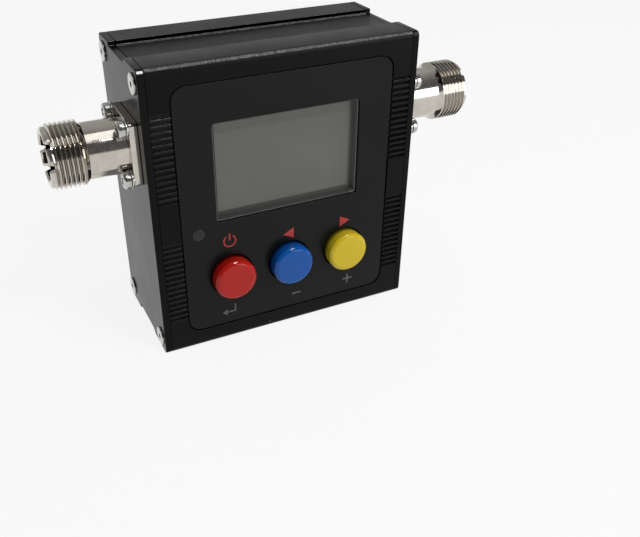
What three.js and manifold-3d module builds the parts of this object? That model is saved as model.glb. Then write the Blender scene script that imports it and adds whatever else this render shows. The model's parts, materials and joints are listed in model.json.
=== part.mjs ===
// Pocket SWR meter: a case of two extruded halves closed by an end plate at each side, a front panel
// with a display and three push buttons, and a threaded coaxial socket on each end plate.
//
// Millimetres, +Z up. Each piece is modelled in the case's own frame: X from the middle of the case
// towards the right, Y from the front face backwards, Z from the underside. The whole part is moved
// at the end, so that its origin is the middle of the floor area that it covers.

import * as THREE from 'three';
import { mergeVertices } from 'three/addons/utils/BufferGeometryUtils.js';
import Module from 'manifold-3d';

const wasm = await Module();
wasm.setup();

// Case
const caseWidth = 78.6;
const caseHeight = 84;
const caseDepth = 36.8;
const frontWall = 2.8;
const shellWall = 2;
const frontEdgeRadius = 1.4;
const rearEdgeRadius = 0.9;

// Channel along the top and the underside, where the two shells meet
const channelFront = 10.7;
const channelRamp = 2.2;
const channelDepth = 1.2;
const rearShellDepth = 10.2;
const lipWidth = 0.8;
const lipHeight = 0.45;
const shellGap = 0.3;
const tongueReach = 4.6;
const tongueThickness = 1.8;

// Ribs at both sides of the front panel, in one band above the middle and one below it
const ribPitch = 1.68;
const ribCount = 15;
const ribGrooveWidth = 1.5;
const ribGrooveDepth = 0.65;
const ribLedge = 0.2;
const ribBandRise = 18.25;
const ribBandDrop = 18.7;

// Screw bosses along the shells
const bossRadius = 3.4;
const bossFrontInset = 4;
const bossRearInset = 3.6;
const bossHeightInset = 4.3;
const bossBore = 1.5;

// End plates and their screws
const plateThickness = 2;
const plateBevel = 0.2;
const plateScrewHole = 1.7;
const plateScrewHead = 2.75;
const plateScrewHeadHeight = 0.5;
const plateScrewHeadRound = 0.15;
const plateScrewShank = 1.2;
const plateScrewReach = 9;

// Front panel
const panelSideMargin = 7.75;
const panelEndMargin = 5.5;
const panelThickness = 1.2;
const panelInset = 0.2;
const panelGap = 0.3;
const panelCornerRadius = 3.7;
const windowLeftMargin = 10.15;
const windowRightMargin = 9.85;
const windowTopMargin = 10.8;
const windowAboveButtons = 11.3;
const windowCornerRadius = 0.8;
const apertureMargin = 0.6;

// Display
const glassFront = 3.2;
const glassBorder = 2.1;
const glassThickness = 1.7;
const polariserSideMargin = 1.35;
const polariserEndMargin = 1.55;
const polariserRise = 0.28;
const polariserThickness = 0.2;
const backlightMargin = 0.4;
const flexWidth = 16;
const flexThickness = 0.3;
const flexReach = 6.4;
const flexTail = 3;

// Main board and its seats in the front shell
const boardFront = 7;
const boardThickness = 1.6;
const boardSideMargin = 2.8;
const boardEndMargin = 8.7;
const seatHeight = 5.1;
const seatInset = 8.1;
const boardScrewInset = 3.5;
const boardScrewShank = 0.8;
const boardScrewBore = 1.1;
const boardScrewDepth = 3.6;
const boardScrewReach = 2.8;
const boardScrewHead = 1.9;
const boardScrewHeadHeight = 1.4;

// Push buttons and their switches
const buttonPitchShare = 0.2837;
const buttonHeight = 21.7;
const buttonRadius = 6.2;
const buttonProud = 4;
const buttonEdgeRound = 0.9;
const buttonHoleGap = 0.35;
const buttonSkirtEnd = 2.6;
const buttonSkirt = 1.2;
const buttonFace = 1.3;
const buttonHubRadius = 3.4;
const buttonHubEnd = 2.2;
const plungerSide = 3.8;
const plungerTip = 1.6;
const plungerGap = 0.25;
const plungerCollar = 2.6;
const plungerSlack = 0.05;
const buttonTravel = 0.3;
const switchSide = 12;
const switchHeight = 3.5;
const switchCover = 0.5;
const switchWell = 3.3;
const switchCornerRadius = 0.6;
const domeRadius = 2.9;
const domeRise = 1.2;
const domeThickness = 0.2;
const domeCrown = 0.8;

// Status light
const ledSideMargin = 4.7;
const ledAboveButtons = 14.9;
const ledRadius = 1.75;
const ledFlange = 2.1;
const ledFlangeThickness = 0.9;
const ledStandoff = 1;
const ledGap = 0.1;
const ledLead = 0.5;
const ledLeadPitch = 2.54;
const ledInset = 0.05;

// Coaxial sockets, outwards from the end plate
const socketDepth = 13;
const socketDrop = 23;
const flangeSide = 17.5;
const flangeThickness = 2.3;
const flangeCornerRadius = 1.2;
const barrelRadius = 7.4;
const barrelLength = 12.6;
const threadRadius = 8.5;
const threadStart = 13.5;
const threadEnd = 21.3;
const rimRadius = 7.85;
const rimChamfer = 0.4;
const rimBevel = 0.45;
const socketLength = 22.3;
const socketBore = 6.1;
const socketWell = 8;
const notchSpacing = 45;
const notchWidth = 1.9;
const notchDepth = 1.5;
const leftNotchPhase = 0;
const rightNotchPhase = 129;
const plateBoreGap = 0.4;

// Socket insulator and centre contact
const insulatorGap = 0.15;
const insulatorInner = 1.8;
const spigotRadius = 3;
const spigotReach = 4.5;
const contactRadius = 2.8;
const contactProud = 0.5;
const contactBore = 2;
const contactBoreDepth = 9.5;
const contactSleeve = 11;
const contactGap = 0.15;
const contactNeck = 1.5;
const contactPin = 1;
const contactPinReach = 8;
const contactChamfer = 0.3;

// Flange screws, each with a captive spring washer
const flangeHolePitch = 13.9;
const flangeHole = 1.4;
const flangeScrewShank = 1.2;
const flangeScrewReach = 2.4;
const washerRadius = 2.3;
const washerThickness = 0.7;
const washerNeck = 1.9;
const washerNeckHeight = 0.12;
const flangeScrewHead = 2.3;
const flangeScrewHeadHeight = 1.9;
const flangeScrewHeadRound = 0.6;

// Coupler board, its line, its shield and what carries it
const lineGap = 0.1;
const lineThickness = 0.3;
const lineWidth = 2.8;
const lineOverlap = 1.7;
const couplerSideMargin = 1;
const couplerTopMargin = 11.1;
const couplerThickness = 1.6;
const shieldInset = 6;
const shieldHeightShare = 0.54;
const shieldRise = 4.6;
const shieldWall = 0.5;
const shieldSlotGap = 1.1;
const shieldSlotRise = 1.6;
const spacerRadius = 2.3;
const spacerGap = 0.2;
const spacerInset = 2.6;
const spacerBore = 1.1;
const spacerSides = 6;
const headerLength = 20;
const headerHeight = 2.5;
const headerInset = 1.9;

// Battery
const batterySideMargin = 14.3;
const batteryHeight = 34;
const batteryThickness = 10;
const batteryCorner = 2;
const batteryFloor = 9;
const batteryPadThickness = 1;
const batteryPadMargin = 4;

// Charging inlet on the right end plate
const inletHeight = 24;
const inletWidth = 7.6;
const inletThickness = 2.7;
const inletLength = 5.6;
const inletInset = 0.6;
const inletWall = 0.35;
const inletDepth = 4.6;
const inletCorner = 1;
const inletTongue = 0.6;
const inletTongueMargin = 1.2;
const inletHoleGap = 0.4;
const inletHoleRadius = 0.9;

// Fineness of round shapes and how far a cutter runs past what it cuts
const edgeSteps = 3;
const cornerSteps = 4;
const holeSteps = 16;
const roundSteps = 32;
const smallSteps = 10;
const overrun = 1;
const mergeTolerance = 0.0001;

// Places worked out from the sizes above
const midHeight = caseHeight / 2;
const endFace = caseWidth / 2;
const shellEnd = endFace - plateThickness;
const channelFloor = caseHeight - channelDepth;
const channelBack = caseDepth - rearShellDepth;
const rampEnd = channelFront + channelRamp;
const lipEnd = channelBack - shellGap;
const tongueTop = channelFloor - shellWall - shellGap;
const tongueBottom = tongueTop - tongueThickness;
const tongueFront = channelBack - tongueReach;
const recessDepth = panelInset + panelThickness;
const panelWidth = caseWidth - 2 * panelSideMargin;
const panelHeight = caseHeight - 2 * panelEndMargin;
const buttonPitch = buttonPitchShare * panelWidth;
const ledAcross = ledSideMargin - panelWidth / 2;
const ledHeight = buttonHeight + ledAboveButtons;
const windowTop = caseHeight - panelEndMargin - windowTopMargin;
const windowBottom = buttonHeight + buttonRadius + windowAboveButtons;
const windowMiddle = (windowTop + windowBottom) / 2;
const windowWidth = panelWidth - windowLeftMargin - windowRightMargin;
const windowHeight = windowTop - windowBottom;
const windowOffset = (windowLeftMargin - windowRightMargin) / 2;
const glassWidth = windowWidth + 2 * glassBorder;
const glassHeight = windowHeight + 2 * glassBorder;
const polariserWidth = windowWidth - 2 * polariserSideMargin;
const polariserHeight = windowHeight - 2 * polariserEndMargin;
const bossUpper = caseHeight - bossHeightInset;
const bossRearDepth = caseDepth - bossRearInset;
const seatTop = caseHeight - seatInset;
const seatBottom = seatTop - seatHeight;
const boardBack = boardFront + boardThickness;
const boardLength = caseWidth - 2 * boardSideMargin;
const boardHeight = caseHeight - 2 * boardEndMargin;
const glassBack = glassFront + glassThickness;
const socketHeight = caseHeight - socketDrop;
const lineFront = socketDepth + contactPin + lineGap;
const lineLength = caseWidth - 2 * (contactPinReach - lineOverlap);
const couplerFront = lineFront + lineThickness;
const couplerLength = lineLength + 2 * couplerSideMargin;
const couplerHeight = 2 * (socketDrop - couplerTopMargin);
const shieldLength = lineLength - 2 * shieldInset;
const shieldHeight = shieldHeightShare * couplerHeight;
const spacerAcross = shieldLength / 2 + spacerRadius + spacerGap;
const spacerRise = couplerHeight / 2 - spacerInset;
const headerDrop = couplerHeight / 2 - headerInset;
const batteryWidth = caseWidth - 2 * batterySideMargin;
const batteryBack = caseDepth - shellWall - batteryPadThickness;
const batteryMiddle = batteryFloor + batteryHeight / 2;
const switchFront = boardFront - switchHeight;
const plungerCollarFront = switchFront + switchCover;
const plungerCollarBack = boardFront - domeRise - buttonTravel - plungerSlack;

// Materials
function finish(color, roughness, metalness) {
  return new THREE.MeshStandardMaterial({ color, roughness, metalness });
}
const powderCoat = finish(0x232524, 0.55, 0.3);
const plateCoat = finish(0x2c2e2d, 0.4, 0.4);
const panelBlack = finish(0x151716, 0.12, 0);
const nickel = finish(0xc9c4b8, 0.22, 1);
const steel = finish(0xb9b9b6, 0.3, 1);
const brass = finish(0xc8a54b, 0.3, 1);
const ptfe = finish(0xefece2, 0.5, 0);
const glassGrey = finish(0x4a4c49, 0.3, 0);
const displayGrey = finish(0x6a6b64, 0.45, 0);
const diffuser = finish(0xe8e8e4, 0.5, 0);
const polyimide = finish(0xa8702a, 0.4, 0);
const boardGreen = finish(0x1d5b34, 0.5, 0);
const copper = finish(0xb87333, 0.3, 1);
const tinplate = finish(0xc6c8c6, 0.35, 1);
const blackPlastic = finish(0x1a1a1a, 0.5, 0);
const ledLens = finish(0x3a3c3a, 0.25, 0);
const foam = finish(0x2e2e2e, 0.95, 0);
const foil = finish(0xa9acb0, 0.4, 0.8);
const redCap = finish(0xd42a28, 0.3, 0);
const blueCap = finish(0x1f5fae, 0.3, 0);
const yellowCap = finish(0xe3c92a, 0.3, 0);

// Outlines are lists of points. A point of an outline that is extruded along X is (y, z).
function point(x, y) {
  return new THREE.Vector2(x, y);
}

function arc(x, y, radius, start, end, steps) {
  const points = [];
  for (let i = 0; i <= steps; i += 1) {
    const angle = start + ((end - start) * i) / steps;
    points.push(point(x + radius * Math.cos(angle), y + radius * Math.sin(angle)));
  }
  return points;
}

function circle(x, y, radius, steps) {
  return arc(x, y, radius, 0, 2 * Math.PI, steps).slice(1);
}

function roundedRectangle(x, y, width, height, radius) {
  const quarter = Math.PI / 2;
  const right = x + width / 2 - radius;
  const left = x - width / 2 + radius;
  const top = y + height / 2 - radius;
  const bottom = y - height / 2 + radius;
  return [
    ...arc(right, bottom, radius, -quarter, 0, cornerSteps),
    ...arc(right, top, radius, 0, quarter, cornerSteps),
    ...arc(left, top, radius, quarter, 2 * quarter, cornerSteps),
    ...arc(left, bottom, radius, 2 * quarter, 3 * quarter, cornerSteps),
  ];
}

function rectangle(x, y, width, height) {
  return [
    point(x - width / 2, y - height / 2),
    point(x + width / 2, y - height / 2),
    point(x + width / 2, y + height / 2),
    point(x - width / 2, y + height / 2),
  ];
}

// Closes an outline of the upper half of the case with its mirror image below. The points in between
// are taken as they are.
function mirroredOutline(upperHalf, between = []) {
  const lowerHalf = upperHalf.map((p) => point(p.x, caseHeight - p.y)).reverse();
  return [...upperHalf, ...between, ...lowerHalf];
}

// Solids
const axisX = new THREE.Vector3(1, 0, 0);
const axisY = new THREE.Vector3(0, 1, 0);
const axisZ = new THREE.Vector3(0, 0, 1);
const alongX = new THREE.Matrix4().makeBasis(axisY, axisZ, axisX);
const alongY = new THREE.Matrix4().makeBasis(axisX, axisZ, axisY.clone().negate());

function solid(geometry) {
  const plain = geometry.clone();
  plain.deleteAttribute('normal');
  plain.deleteAttribute('uv');
  const merged = mergeVertices(plain, mergeTolerance);
  const corners = merged.index.array;
  const triangles = [];
  for (let i = 0; i < corners.length; i += 3) {
    const [a, b, c] = [corners[i], corners[i + 1], corners[i + 2]];
    if (a !== b && b !== c && c !== a) triangles.push(a, b, c);
  }
  const vertProperties = Float32Array.from(merged.attributes.position.array);
  const triVerts = Uint32Array.from(triangles);
  return new wasm.Manifold(new wasm.Mesh({ numProp: 3, vertProperties, triVerts }));
}

function extruded(outline, depth, turn, place, bevel = 0) {
  const options = { depth: depth - 2 * bevel, bevelEnabled: bevel > 0 };
  if (bevel > 0) {
    Object.assign(options, { bevelSegments: 1, bevelSize: bevel, bevelThickness: bevel, bevelOffset: -bevel });
  }
  const geometry = new THREE.ExtrudeGeometry(new THREE.Shape(outline), options);
  geometry.translate(0, 0, bevel);
  geometry.applyMatrix4(turn);
  geometry.translate(place.x, place.y, place.z);
  return solid(geometry);
}

// A slab between two places on X, from an outline of (y, z) points.
function slabX(outline, from, to, bevel = 0) {
  return extruded(outline, to - from, alongX, new THREE.Vector3(from, 0, 0), bevel);
}

// A slab between two places on Y, from an outline of (x, z) points.
function slabY(outline, front, back, bevel = 0) {
  return extruded(outline, back - front, alongY, new THREE.Vector3(0, back, 0), bevel);
}

// A solid of revolution from (radius, distance) points that run outwards along the near end first.
function revolved(profile, steps, turn, place) {
  const geometry = new THREE.LatheGeometry(profile, steps);
  geometry.applyMatrix4(turn);
  geometry.translate(place.x, place.y, place.z);
  return solid(geometry);
}

// The lathe's own axis is Y, so distances along it become distances along +X or along +Y.
const latheToX = new THREE.Matrix4().makeBasis(axisY, axisX, axisZ.clone().negate());
const latheToY = new THREE.Matrix4();

function turnedX(profile, steps, y = 0, z = 0) {
  return revolved(profile, steps, latheToX, new THREE.Vector3(0, y, z));
}

function turnedY(profile, steps, x, z) {
  return revolved(profile, steps, latheToY, new THREE.Vector3(x, 0, z));
}

function cut(body, ...tools) {
  return tools.reduce((left, tool) => left.subtract(tool), body);
}

function join(body, ...others) {
  return others.reduce((whole, other) => whole.add(other), body);
}

function mesh(name, body, material) {
  const { vertProperties, triVerts } = body.getMesh();
  const geometry = new THREE.BufferGeometry();
  geometry.setAttribute('position', new THREE.BufferAttribute(vertProperties, 3));
  geometry.setIndex(new THREE.BufferAttribute(triVerts, 1));
  geometry.computeVertexNormals();
  const made = new THREE.Mesh(geometry, material);
  made.name = name;
  return made;
}

// Case outlines
function frontTopEdge() {
  const centre = caseHeight - frontEdgeRadius;
  return [
    ...arc(frontEdgeRadius, centre, frontEdgeRadius, Math.PI, Math.PI / 2, edgeSteps),
    point(channelFront, caseHeight),
    point(rampEnd, channelFloor),
  ];
}

function rearTopEdge() {
  const centre = point(caseDepth - rearEdgeRadius, caseHeight - rearEdgeRadius);
  return [
    point(channelBack, caseHeight),
    ...arc(centre.x, centre.y, rearEdgeRadius, Math.PI / 2, 0, edgeSteps),
  ];
}

// A groove has a long slope that faces down, and a short ledge under it that faces up.
function ribGroove(middle) {
  const bottom = middle - ribGrooveWidth / 2;
  return [
    point(0, bottom),
    point(ribGrooveDepth, bottom + ribLedge),
    point(0, middle + ribGrooveWidth / 2),
  ];
}

// The grooves of one band around its middle, from the lowest upwards.
function ribBand(middle) {
  const points = [];
  for (let i = 0; i < ribCount; i += 1) {
    points.push(...ribGroove(middle + (i - (ribCount - 1) / 2) * ribPitch));
  }
  return points;
}

function frontShellOutline() {
  const ribs = [...ribBand(midHeight - ribBandDrop), ...ribBand(midHeight + ribBandRise)].reverse();
  return mirroredOutline([
    point(frontWall, seatBottom),
    point(boardFront, seatBottom),
    point(boardFront, seatTop),
    point(frontWall, seatTop),
    point(frontWall, caseHeight - shellWall),
    point(channelFront, caseHeight - shellWall),
    point(rampEnd, channelFloor - shellWall),
    point(lipEnd, channelFloor - shellWall),
    point(lipEnd, channelFloor + lipHeight),
    point(lipEnd - lipWidth, channelFloor + lipHeight),
    point(lipEnd - lipWidth, channelFloor),
    ...frontTopEdge().reverse(),
  ], ribs);
}

function rearShellOutline() {
  return mirroredOutline([
    ...rearTopEdge().reverse(),
    point(channelBack, tongueTop),
    point(tongueFront, tongueTop),
    point(tongueFront, tongueBottom),
    point(channelBack + shellWall, tongueBottom),
    point(channelBack + shellWall, caseHeight - shellWall),
    point(caseDepth - shellWall, caseHeight - shellWall),
  ]);
}

function plateOutline() {
  return mirroredOutline([...frontTopEdge(), point(channelBack, channelFloor), ...rearTopEdge()]);
}

// A boss hangs from the flange above it: a round end below a block as wide as the boss.
function bossOutline(y) {
  const root = caseHeight - shellWall / 2;
  return [
    ...arc(y, bossUpper, bossRadius, Math.PI, 2 * Math.PI, smallSteps),
    point(y + bossRadius, root),
    point(y - bossRadius, root),
  ];
}

function flipped(outline) {
  return outline.map((p) => point(p.x, caseHeight - p.y)).reverse();
}

function withBosses(shell, y) {
  const upper = bossOutline(y);
  const blocks = [upper, flipped(upper)].map((outline) => slabX(outline, -shellEnd, shellEnd));
  const bores = [bossUpper, bossHeightInset].map((z) => {
    const reach = shellEnd + overrun;
    return slabX(circle(y, z, bossBore, smallSteps), -reach, reach);
  });
  return cut(join(shell, ...blocks), ...bores);
}

// Places that several pieces share
const buttonPlaces = [-buttonPitch, 0, buttonPitch];
const boardScrewPlaces = [];
for (const side of [-1, 1]) {
  for (const z of [seatTop - seatHeight / 2, seatInset + seatHeight / 2]) {
    boardScrewPlaces.push({ x: side * (boardLength / 2 - boardScrewInset), z });
  }
}

function frontOpenings(front, back, margin) {
  const from = front - overrun;
  const to = back + overrun;
  const width = windowWidth + 2 * margin;
  const height = windowHeight + 2 * margin;
  const pane = roundedRectangle(windowOffset, windowMiddle, width, height, windowCornerRadius + margin);
  return [
    slabY(pane, from, to),
    slabY(circle(ledAcross, ledHeight, ledRadius + ledGap, smallSteps), from, to),
    ...buttonPlaces.map((x) => slabY(circle(x, buttonHeight, buttonRadius + buttonHoleGap, roundSteps), from, to)),
  ];
}

function frontShell() {
  const width = panelWidth + 2 * panelGap;
  const height = panelHeight + 2 * panelGap;
  const recess = roundedRectangle(0, midHeight, width, height, panelCornerRadius + panelGap);
  const shell = withBosses(slabX(frontShellOutline(), -shellEnd, shellEnd), bossFrontInset);
  const screwBores = boardScrewPlaces.map(({ x, z }) => {
    return slabY(circle(x, z, boardScrewBore, smallSteps), boardFront - boardScrewDepth, boardFront + overrun);
  });
  return cut(
    shell,
    slabY(recess, -overrun, recessDepth),
    ...frontOpenings(recessDepth, frontWall, apertureMargin),
    ...screwBores,
  );
}

function rearShell() {
  return withBosses(slabX(rearShellOutline(), -shellEnd, shellEnd), bossRearDepth);
}

// End plates
const plateScrewPlaces = [];
for (const [level, z] of [['upper', bossUpper], ['lower', bossHeightInset]]) {
  plateScrewPlaces.push({ name: `front_${level}`, y: bossFrontInset, z });
  plateScrewPlaces.push({ name: `rear_${level}`, y: bossRearDepth, z });
}
const flangeScrewPlaces = [];
for (const [level, up] of [['upper', 1], ['lower', -1]]) {
  for (const [row, back] of [['front', -1], ['rear', 1]]) {
    const y = socketDepth + (back * flangeHolePitch) / 2;
    flangeScrewPlaces.push({ name: `${row}_${level}`, y, z: socketHeight + (up * flangeHolePitch) / 2 });
  }
}

function inletOutline(margin) {
  const width = inletThickness + 2 * margin;
  const height = inletWidth + 2 * margin;
  return roundedRectangle(boardBack + inletThickness / 2, inletHeight, width, height, inletHoleRadius);
}

function endPlate(from, to) {
  const start = from - overrun;
  const end = to + overrun;
  const screwHoles = plateScrewPlaces.map(({ y, z }) => slabX(circle(y, z, plateScrewHole, smallSteps), start, end));
  const flangeHoles = flangeScrewPlaces.map(({ y, z }) => slabX(circle(y, z, flangeHole, smallSteps), start, end));
  const bore = slabX(circle(socketDepth, socketHeight, socketBore + plateBoreGap, roundSteps), start, end);
  return cut(slabX(plateOutline(), from, to, plateBevel), bore, ...screwHoles, ...flangeHoles);
}

function rightEndPlate() {
  const slot = slabX(inletOutline(inletHoleGap), shellEnd - overrun, endFace + overrun);
  return cut(endPlate(shellEnd, endFace), slot);
}

function endPlateScrew() {
  return turnedX([
    point(0, -plateScrewReach),
    point(plateScrewShank, -plateScrewReach),
    point(plateScrewShank, 0),
    point(plateScrewHead, 0),
    point(plateScrewHead, plateScrewHeadHeight - plateScrewHeadRound),
    point(plateScrewHead - plateScrewHeadRound, plateScrewHeadHeight),
    point(0, plateScrewHeadHeight),
  ], smallSteps);
}

// Sockets, modelled outwards along +X from the outer face of the end plate, on the socket's axis.
// The rim's slots are cut right across it, two of them, at the phase and one spacing further on.
function socketShell(phase) {
  const body = turnedX([
    point(socketBore, 0),
    point(barrelRadius, 0),
    point(barrelRadius, barrelLength),
    point(threadRadius, threadStart),
    point(threadRadius, threadEnd),
    point(rimRadius, threadEnd + rimChamfer),
    point(rimRadius, socketLength - rimBevel),
    point(rimRadius - rimBevel, socketLength),
    point(socketBore, socketLength),
    point(socketBore, 0),
  ], roundSteps);
  const flange = slabX(roundedRectangle(0, 0, flangeSide, flangeSide, flangeCornerRadius), 0, flangeThickness);
  const bore = slabX(circle(0, 0, socketBore, roundSteps), -overrun, flangeThickness + overrun);
  const holes = [-1, 1].flatMap((back) => [-1, 1].map((up) => {
    const outline = circle((back * flangeHolePitch) / 2, (up * flangeHolePitch) / 2, flangeHole, smallSteps);
    return slabX(outline, -overrun, flangeThickness + overrun);
  }));
  const notches = [phase, phase + notchSpacing].map((degrees) => {
    const slot = rectangle(0, 0, 2 * (threadRadius + overrun), notchWidth);
    const turned = slot.map((p) => p.rotateAround(point(0, 0), THREE.MathUtils.degToRad(degrees)));
    return slabX(turned, socketLength - notchDepth, socketLength + overrun);
  });
  return cut(join(body, cut(flange, bore)), ...holes, ...notches);
}

function socketInsulator() {
  const face = socketLength - socketWell;
  const outer = socketBore - insulatorGap;
  const step = -insulatorInner;
  const shoulder = face + contactProud - contactSleeve;
  return turnedX([
    point(contactNeck + contactGap, -spigotReach),
    point(spigotRadius, -spigotReach),
    point(spigotRadius, step),
    point(outer, step),
    point(outer, face),
    point(contactRadius + contactGap, face),
    point(contactRadius + contactGap, shoulder - contactGap),
    point(contactNeck + contactGap, shoulder - contactGap),
    point(contactNeck + contactGap, -spigotReach),
  ], roundSteps);
}

function centreContact() {
  const mouth = socketLength - socketWell + contactProud;
  const shoulder = mouth - contactSleeve;
  return turnedX([
    point(0, -contactPinReach),
    point(contactPin, -contactPinReach),
    point(contactPin, -spigotReach),
    point(contactNeck, -spigotReach),
    point(contactNeck, shoulder),
    point(contactRadius, shoulder),
    point(contactRadius, mouth - contactChamfer),
    point(contactRadius - contactChamfer, mouth),
    point(contactBore, mouth),
    point(contactBore, mouth - contactBoreDepth),
    point(0, mouth - contactBoreDepth),
  ], holeSteps);
}

function flangeScrew() {
  const washerTop = flangeThickness + washerThickness;
  const headBase = washerTop + washerNeckHeight;
  const headTop = headBase + flangeScrewHeadHeight;
  const round = arc(
    flangeScrewHead - flangeScrewHeadRound,
    headTop - flangeScrewHeadRound,
    flangeScrewHeadRound,
    0,
    Math.PI / 2,
    edgeSteps,
  );
  return turnedX([
    point(0, -flangeScrewReach),
    point(flangeScrewShank, -flangeScrewReach),
    point(flangeScrewShank, flangeThickness),
    point(washerRadius, flangeThickness),
    point(washerRadius, washerTop),
    point(washerNeck, washerTop),
    point(washerNeck, headBase),
    point(flangeScrewHead, headBase),
    ...round,
    point(0, headTop),
  ], smallSteps);
}

// Front panel and display
function frontPanel() {
  const outline = roundedRectangle(0, midHeight, panelWidth, panelHeight, panelCornerRadius);
  return cut(slabY(outline, panelInset, recessDepth), ...frontOpenings(panelInset, recessDepth, 0));
}

function polariser() {
  const outline = rectangle(windowOffset, windowMiddle + polariserRise, polariserWidth, polariserHeight);
  return slabY(outline, glassFront - polariserThickness, glassFront);
}

function displayGlass() {
  return slabY(rectangle(windowOffset, windowMiddle, glassWidth, glassHeight), glassFront, glassBack);
}

function displayBacklight() {
  const width = glassWidth + 2 * backlightMargin;
  const height = glassHeight + 2 * backlightMargin;
  const outline = roundedRectangle(windowOffset, windowMiddle, width, height, windowCornerRadius);
  return slabY(outline, glassBack, boardFront);
}

// The strip leaves the glass edge, turns back towards the board and lies on it.
function displayFlex() {
  const top = windowMiddle - glassHeight / 2 - backlightMargin - shellGap;
  const near = glassBack;
  const far = boardFront;
  const bottom = top - flexReach;
  const turn = bottom + flexTail;
  const outline = [
    point(near - flexThickness, top),
    point(near - flexThickness, turn + flexThickness),
    point(far - flexThickness, turn),
    point(far - flexThickness, bottom),
    point(far, bottom),
    point(far, turn + flexThickness),
    point(near, turn + 2 * flexThickness),
    point(near, top),
  ];
  return slabX(outline.reverse(), windowOffset - flexWidth / 2, windowOffset + flexWidth / 2);
}

// Boards
function mainBoard() {
  const board = slabY(rectangle(0, midHeight, boardLength, boardHeight), boardFront, boardBack);
  const holes = boardScrewPlaces.map(({ x, z }) => {
    return slabY(circle(x, z, boardScrewBore, smallSteps), boardFront - overrun, boardBack + overrun);
  });
  return cut(board, ...holes);
}

function boardScrew({ x, z }) {
  return turnedY([
    point(0, boardFront - boardScrewReach),
    point(boardScrewShank, boardFront - boardScrewReach),
    point(boardScrewShank, boardBack),
    point(boardScrewHead, boardBack),
    point(boardScrewHead, boardBack + boardScrewHeadHeight),
    point(0, boardBack + boardScrewHeadHeight),
  ], smallSteps, x, z);
}

function couplerBoard() {
  const outline = rectangle(0, socketHeight, couplerLength, couplerHeight);
  return slabY(outline, couplerFront, couplerFront + couplerThickness);
}

function couplerLine() {
  return slabY(rectangle(0, socketHeight, lineLength, lineWidth), lineFront, couplerFront);
}

function couplerShield() {
  const front = couplerFront - shieldRise;
  const inside = rectangle(0, socketHeight, shieldLength - 2 * shieldWall, shieldHeight - 2 * shieldWall);
  const slot = rectangle(0, socketHeight, shieldLength + overrun, lineWidth + 2 * shieldSlotGap);
  return cut(
    slabY(rectangle(0, socketHeight, shieldLength, shieldHeight), front, couplerFront),
    slabY(inside, front + shieldWall, couplerFront + overrun),
    slabY(slot, couplerFront - shieldSlotRise, couplerFront + overrun),
  );
}

function spacer(x) {
  const z = socketHeight + spacerRise;
  const bore = slabY(circle(x, z, spacerBore, smallSteps), boardBack - overrun, couplerFront + overrun);
  return cut(slabY(circle(x, z, spacerRadius, spacerSides), boardBack, couplerFront), bore);
}

function boardHeader() {
  const outline = rectangle(0, socketHeight - headerDrop, headerLength, headerHeight);
  return slabY(outline, boardBack, couplerFront);
}

// Push buttons and switches
function buttonCap(x) {
  const front = -buttonProud;
  const inner = buttonRadius - buttonSkirt;
  const ceiling = front + buttonFace;
  const rim = arc(
    buttonRadius - buttonEdgeRound,
    front + buttonEdgeRound,
    buttonEdgeRound,
    -Math.PI / 2,
    0,
    edgeSteps,
  );
  const cap = turnedY([
    point(0, front),
    ...rim,
    point(buttonRadius, buttonSkirtEnd),
    point(inner, buttonSkirtEnd),
    point(inner, ceiling),
    point(buttonHubRadius, ceiling),
    point(buttonHubRadius, buttonHubEnd),
    point(0, buttonHubEnd),
  ], roundSteps, x, buttonHeight);
  const side = plungerSide + 2 * plungerGap;
  const socket = rectangle(x, buttonHeight, side, side);
  return cut(cap, slabY(socket, -plungerTip - plungerGap, buttonHubEnd + overrun));
}

function switchPlunger(x) {
  const stem = slabY(rectangle(x, buttonHeight, plungerSide, plungerSide), -plungerTip, plungerCollarBack);
  const collar = slabY(circle(x, buttonHeight, plungerCollar, holeSteps), plungerCollarFront, plungerCollarBack);
  return join(stem, collar);
}

function switchBody(x) {
  const block = roundedRectangle(x, buttonHeight, switchSide, switchSide, switchCornerRadius);
  const side = plungerSide + 2 * plungerGap;
  return cut(
    slabY(block, switchFront, boardFront),
    slabY(rectangle(x, buttonHeight, side, side), switchFront - overrun, boardFront),
    slabY(circle(x, buttonHeight, switchWell, holeSteps), plungerCollarFront, boardFront + overrun),
  );
}

function switchDome(x) {
  const rim = boardFront;
  const crown = rim - domeRise;
  return turnedY([
    point(0, crown),
    point(domeCrown, crown),
    point(domeRadius, rim - domeThickness),
    point(domeRadius, rim),
    point(domeRadius - domeThickness, rim),
    point(domeCrown, crown + domeThickness),
    point(0, crown + domeThickness),
  ], holeSteps, x, buttonHeight);
}

function statusLed() {
  const tip = panelInset + ledInset;
  const flangeBack = boardFront - ledStandoff;
  const flangeFront = flangeBack - ledFlangeThickness;
  const lens = turnedY([
    ...arc(0, tip + ledRadius, ledRadius, -Math.PI / 2, 0, edgeSteps),
    point(ledRadius, flangeFront),
    point(ledFlange, flangeFront),
    point(ledFlange, flangeBack),
    point(0, flangeBack),
  ], holeSteps, ledAcross, ledHeight);
  const leads = [-1, 1].map((side) => {
    const x = ledAcross + (side * ledLeadPitch) / 2;
    return slabY(rectangle(x, ledHeight, ledLead, ledLead), flangeBack - ledLead, boardFront);
  });
  return join(lens, ...leads);
}

// Battery and charging inlet
function battery() {
  const outline = roundedRectangle(0, batteryMiddle, batteryWidth, batteryHeight, batteryCorner);
  return slabY(outline, batteryBack - batteryThickness, batteryBack);
}

function batteryPad() {
  const width = batteryWidth - 2 * batteryPadMargin;
  const outline = rectangle(0, batteryMiddle, width, batteryHeight - 2 * batteryPadMargin);
  return slabY(outline, batteryBack, batteryBack + batteryPadThickness);
}

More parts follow.
